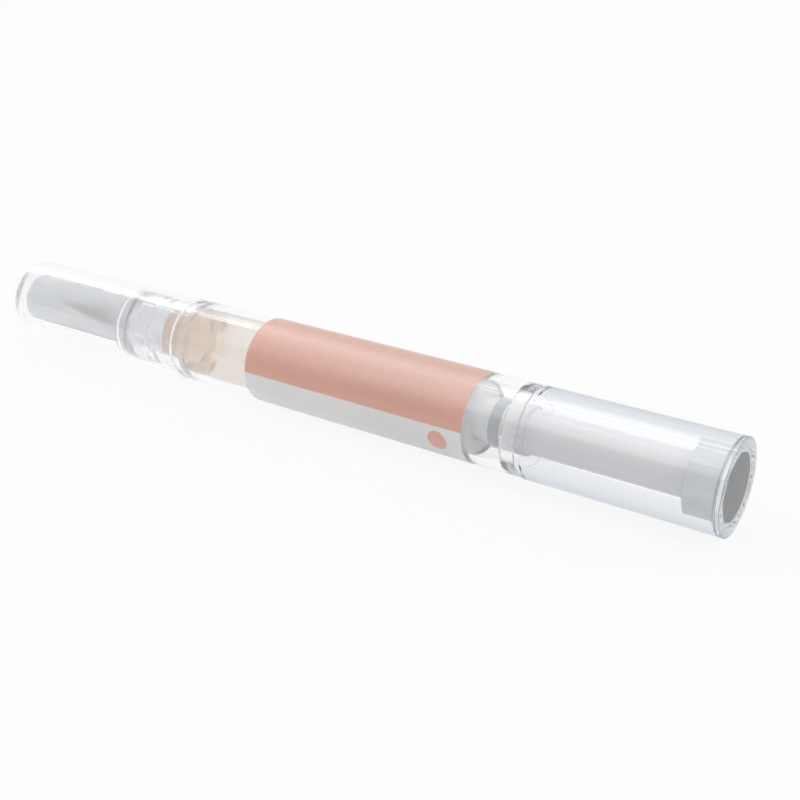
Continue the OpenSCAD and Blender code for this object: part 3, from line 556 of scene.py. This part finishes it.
# Tail plug: eight flats between two rims, with a round hole in front for the rotor's spigot
tail = {"front": 54.97, "length": 4.1, "radius": 4.72, "hole": 2.2, "depth": 3.1, "edge": 0.12, "sides": 8,
        "cuts": 5, "cornerAngle": 30, "outside": 3}
tailPlace = Matrix.Translation((tail["front"] * mm, 0, 0)) @ acrossPen
tailShape = bmesh.new()
bmesh.ops.create_circle(tailShape, segments=tail["sides"], radius=tail["radius"] * mm, matrix=tailPlace)
bmesh.ops.subdivide_edges(tailShape, edges=tailShape.edges[:], cuts=tail["cuts"])
outerLoop = tailShape.edges[:]
outerWall = bmesh.ops.extrude_edge_only(tailShape, edges=outerLoop)["geom"]
bmesh.ops.translate(tailShape, verts=[g for g in outerWall if isinstance(g, bmesh.types.BMVert)],
                    vec=(tail["length"] * mm, 0, 0))
bmesh.ops.edgeloop_fill(tailShape, edges=[g for g in outerWall if isinstance(g, bmesh.types.BMEdge)])
holeVerts = bmesh.ops.create_circle(tailShape, segments=tail["sides"] * (tail["cuts"] + 1),
                                    radius=tail["hole"] * mm, matrix=tailPlace)["verts"]
holeLoop = list({e for v in holeVerts for e in v.link_edges})
bmesh.ops.bridge_loops(tailShape, edges=outerLoop + holeLoop)
holeWall = bmesh.ops.extrude_edge_only(tailShape, edges=holeLoop)["geom"]
bmesh.ops.translate(tailShape, verts=[g for g in holeWall if isinstance(g, bmesh.types.BMVert)],
                    vec=(tail["depth"] * mm, 0, 0))
bmesh.ops.edgeloop_fill(tailShape, edges=[g for g in holeWall if isinstance(g, bmesh.types.BMEdge)])
bmesh.ops.recalc_face_normals(tailShape, faces=tailShape.faces[:])
corners = [e for e in tailShape.edges
           if len(e.link_faces) == 2 and e.calc_face_angle() > math.radians(tail["cornerAngle"])
           and all(fromAxis(v.co) > tail["outside"] * mm for v in e.verts)]
bmesh.ops.bevel(tailShape, geom=corners, affect="EDGES", offset_type="OFFSET", offset=tail["edge"] * mm,
                segments=roundSegments, profile=0.5, material=-1, clamp_overlap=True)
finishPiece("tailPlug", tailShape, [plugPlastic], "knob", "natural_plastic", "tail_plug")

# Knob: clear shell, closed and flat behind, with a spigot that turns inside the barrel
knob = {"spigotX": 31.3, "spigot": 5.35, "front": 33.6, "radius": 6.2, "rear": 60, "bore": 4.75,
        "endX": 59.1, "edge": 0.12, "rim": 5.0, "plugFlat": 4.3, "insideX": 59.5, "inside": 5.6}
knobOutline = [
    (knob["spigotX"], knob["bore"], 0.05), (knob["spigotX"], knob["spigot"], 0.08),
    (knob["front"], knob["spigot"], 0.04), (knob["front"], knob["radius"], 0.1),
    (knob["endX"], knob["radius"], 0), (knob["rear"], knob["radius"], knob["edge"]),
    (knob["rear"], knob["rim"], 0), (knob["rear"], 0, 0), (knob["endX"], 0, 0),
    (knob["endX"], knob["plugFlat"], 0), (knob["endX"], knob["bore"], 0.25)]
knobMaterials = [clearKnob, clearBore, clearRim, wettedShell]
knobShape = turnOutline(knobOutline)
for f in knobShape.faces:
    middle = f.calc_center_median()
    radius = fromAxis(middle)
    onPlug = abs(middle.x - knob["endX"] * mm) < nearly * mm and radius < knob["plugFlat"] * mm
    onRim = middle.x > knob["endX"] * mm and radius > knob["rim"] * mm
    inBore = middle.x < knob["insideX"] * mm and radius < knob["inside"] * mm
    chosen = wettedShell if onPlug else clearRim if onRim else clearBore if inBore else clearKnob
    f.material_index = knobMaterials.index(chosen)
finishPiece("knobShell", knobShape, knobMaterials, "knob", "clear_shell", "knob")
print("knob ready")

# CAD pieces whose own shape is right get their finish
cadFinishes = {"piston": whitePlastic, "lead_screw": whitePlastic, "drive_nut": whitePlastic,
               "ratchet_ring": shadedRingGrey, "pawl_ring": shadedRingGrey, "retaining_ring": shadedRingGrey,
               "feed_tube": naturalPlastic, "brush_retainer": naturalPlastic}
for node, material in cadFinishes.items():
    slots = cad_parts[node].data.materials
    slots.clear()
    slots.append(material)
print("CAD pieces finished")

# Floor, world and lamp: a pale studio under one wide overhead box, which only mirrored light sees bright.
# Angles are in degrees round the pen, from its front side over the top.
studio = {"floorSize": 6.0, "floorColour": "#F4F4F4", "floorShade": "#F1F1F1", "mottleScale": 30.0,
          "whiteShare": 0.88, "boxFront": 37.5, "boxTop": 97, "boxBack": 124, "boxBlur": 9,
          "boxEnd": -0.62, "endBlur": 0.04, "skyLow": 0.88, "skyHigh": 0.8,
          "glossLow": 0.5, "glossHigh": 2.6, "glossBack": 0.9, "throughLow": 0.98, "throughHigh": 1.0,
          "cardFrom": 0.45, "cardTo": 0.9, "cardLight": 0.5,
          "lampPower": 0.42, "lampPlace": (0, 0.18, 0.52), "lampLength": 1.2, "lampWidth": 0.026}


def beforeMattBounce(tree, path, share):
    early = addNode(tree, "Math", {"operation": "LESS_THAN"}, in0=path.outputs["Diffuse Depth"], in1=0.5)
    return addNode(tree, "Math", {"operation": "MULTIPLY"}, in0=share, in1=early.outputs[0]).outputs[0]


floorMesh = bpy.data.meshes.new("studioFloor")
floorShape = bmesh.new()
bmesh.ops.create_grid(floorShape, x_segments=1, y_segments=1, size=studio["floorSize"] / 2)
floorShape.to_mesh(floorMesh)
floorShape.free()
floorMaterial, floorTree, floorPlace = newMaterial("paintedFloorPale")
path = addNode(floorTree, "LightPath")
seen = path.outputs["Is Camera Ray"]
for ray in ("Is Glossy Ray", "Is Transmission Ray"):
    seen = addNode(floorTree, "Math", {"operation": "MAXIMUM"}, in0=seen, in1=path.outputs[ray]).outputs[0]
share = addNode(floorTree, "Math", {"operation": "MULTIPLY"}, in0=beforeMattBounce(floorTree, path, seen),
                in1=studio["whiteShare"])
mottle = addNode(floorTree, "TexNoise", Vector=floorPlace, Scale=studio["mottleScale"])
floorTint = setRamp(addNode(floorTree, "ValToRGB", Fac=mottle.outputs["Fac"]),
                    (noiseLow, studio["floorColour"]), (noiseHigh, studio["floorShade"]))
paint = addNode(floorTree, "BsdfDiffuse", Color=floorTint)
white = addNode(floorTree, "Emission", Color=(1, 1, 1, 1), Strength=1.0)
floorMix = addNode(floorTree, "MixShader", Fac=share.outputs[0], in1=paint.outputs[0], in2=white.outputs[0])
addNode(floorTree, "OutputMaterial", Surface=floorMix.outputs[0])
floorMesh.materials.append(floorMaterial)
floor = bpy.data.objects.new("studioFloor", floorMesh)
bpy.context.scene.collection.objects.link(floor)

world = bpy.data.worlds.new("studioLight")
bpy.context.scene.world = world
world.use_nodes = True
sky = world.node_tree
sky.nodes.clear()
path = addNode(sky, "LightPath")
heading = addNode(sky, "SeparateXYZ", Vector=addNode(sky, "TexCoord").outputs["Generated"])
toFront = addNode(sky, "Math", {"operation": "MULTIPLY"}, in0=heading.outputs["Y"], in1=-1.0)
roundPen = addNode(sky, "Math", {"operation": "ARCTAN2"}, in0=heading.outputs["Z"], in1=toFront.outputs[0])
turned = addNode(sky, "Math", {"operation": "DEGREES"}, in0=roundPen.outputs[0]).outputs[0]
# soft edges of the overhead box: where the light's direction is past its front, its top and its cap end,
# and where it is still before its back
edges = {}
for edge, value, blur in (("boxFront", turned, studio["boxBlur"]), ("boxTop", turned, studio["boxBlur"]),
                          ("boxEnd", heading.outputs["X"], studio["endBlur"]),
                          ("boxBack", turned, -studio["boxBlur"])):
    edges[edge] = addNode(sky, "MapRange", {"interpolation_type": "SMOOTHSTEP"}, Value=value,
                          From_Min=studio[edge] - blur, From_Max=studio[edge] + blur).outputs["Result"]
# the front half of the box ends short of where the cap mirrors it
along = addNode(sky, "Math", {"operation": "MAXIMUM"}, in0=edges["boxTop"], in1=edges["boxEnd"])
overPen = addNode(sky, "Math", {"operation": "MULTIPLY"}, in0=edges["boxFront"], in1=edges["boxBack"])
inBox = addNode(sky, "Math", {"operation": "MULTIPLY"}, in0=overPen.outputs[0],
                in1=along.outputs[0]).outputs[0]


def skyLight(front, over, back):
    outside = addNode(sky, "MapRange", Value=edges["boxBack"], To_Min=studio[back], To_Max=studio[front])
    level = addNode(sky, "Mix", {"data_type": "FLOAT"}, in0=inBox, in2=outside.outputs["Result"],
                    in3=studio[over])
    return addNode(sky, "Background", Color=(1, 1, 1, 1), Strength=level.outputs[0]).outputs[0]


# a pale card beyond the knob's end lights the faces that look that way
onCard = addNode(sky, "MapRange", {"interpolation_type": "SMOOTHSTEP"}, Value=heading.outputs["X"],
                 From_Min=studio["cardFrom"], From_Max=studio["cardTo"], To_Max=studio["cardLight"])
card = addNode(sky, "Background", Color=(1, 1, 1, 1), Strength=onCard.outputs["Result"]).outputs[0]
matt = addNode(sky, "AddShader", in0=skyLight("skyLow", "skyHigh", "skyLow"), in1=card).outputs[0]
gloss = skyLight("glossLow", "glossHigh", "glossBack")
through = skyLight("throughLow", "throughHigh", "throughLow")
plain = addNode(sky, "Background", Color=(1, 1, 1, 1), Strength=1.0).outputs[0]
isGloss = beforeMattBounce(sky, path, path.outputs["Is Glossy Ray"])
isThrough = beforeMattBounce(sky, path, path.outputs["Is Transmission Ray"])
light = matt
for share, shown in ((isGloss, gloss), (isThrough, through), (path.outputs["Is Camera Ray"], plain)):
    light = addNode(sky, "MixShader", Fac=share, in1=light, in2=shown).outputs[0]
addNode(sky, "OutputWorld", Surface=light)

lampData = bpy.data.lights.new("stripBox", "AREA")
lampData.shape = "RECTANGLE"
lampData.energy = studio["lampPower"]
lampData.size = studio["lampLength"]
lampData.size_y = studio["lampWidth"]
lamp = bpy.data.objects.new("stripBox", lampData)
lamp.location = studio["lampPlace"]
lamp.rotation_euler = (-math.atan2(studio["lampPlace"][1], studio["lampPlace"][2]), 0, 0)
bpy.context.scene.collection.objects.link(lamp)
print("studio ready")

# Camera fitted to the picture's outline
view = {"location": (0.09474, -0.12185, 0.07174), "azimuth": 34.037, "elevation": 24.276, "lens": 52.84,
        "sensorWidth": 36, "nearest": 0.01, "bounces": 96}
cameraData = bpy.data.cameras.new("pictureCamera")
cameraData.lens = view["lens"]
cameraData.sensor_width = view["sensorWidth"]
cameraData.clip_start = view["nearest"]
camera = bpy.data.objects.new("pictureCamera", cameraData)
camera.location = view["location"]
camera.rotation_euler = (math.radians(90 - view["elevation"]), 0, math.radians(view["azimuth"]))
bpy.context.scene.collection.objects.link(camera)
bpy.context.scene.camera = camera
bpy.context.scene.view_settings.view_transform = "Standard"
# light turns many corners inside clear walls
for kind in ("max", "diffuse", "glossy", "transmission", "transparent_max"):
    setattr(bpy.context.scene.cycles, kind + "_bounces", view["bounces"])
